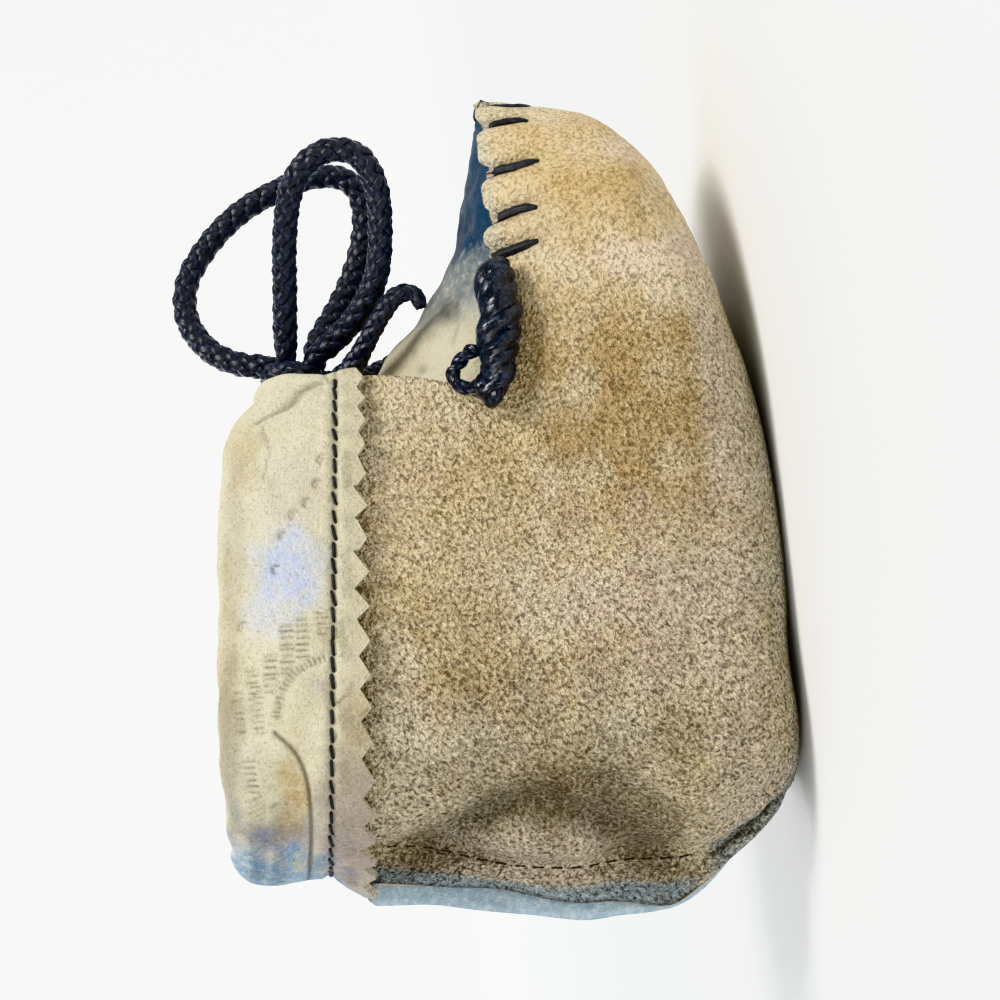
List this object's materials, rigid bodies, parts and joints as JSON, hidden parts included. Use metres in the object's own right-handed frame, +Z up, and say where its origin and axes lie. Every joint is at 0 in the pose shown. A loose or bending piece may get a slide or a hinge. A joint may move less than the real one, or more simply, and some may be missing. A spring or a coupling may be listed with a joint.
{
  "type": "baby moccasin",
  "caption": "Soft suede baby moccasin with a whip-stitched toe apron, a folded tooled leather cuff and a braided tie cord in a bow.",
  "frame": {"origin": "on the floor under the shoe, midway between the back of the heel seam and the tip of the toe, on the centre line", "axes": "+X towards the toe, +Y towards the wearer's left, +Z up from the floor"},
  "size_m": [0.1154, 0.0556, 0.0794],
  "materials": {
    "suede": "napped sandy tan suede",
    "tooled_leather": "pale natural leather, hand tooled, matt",
    "sock_suede": "thin brushed suede",
    "black_thong": "waxed black thong, twisted",
    "braided_cord": "black braided nylon, slight sheen"
  },
  "bodies": {
    "root": {"upper": "suede", "apron": "tooled_leather", "cuff": "tooled_leather", "insole": "sock_suede", "seam_lace_right": "black_thong", "seam_lace_left": "black_thong", "tie_run": "braided_cord", "tie_knot": "braided_cord", "tie_loop_right": "braided_cord", "tie_loop_left": "braided_cord", "tie_end_right": "braided_cord", "tie_end_left": "braided_cord"}
  },
  "joints": []
}
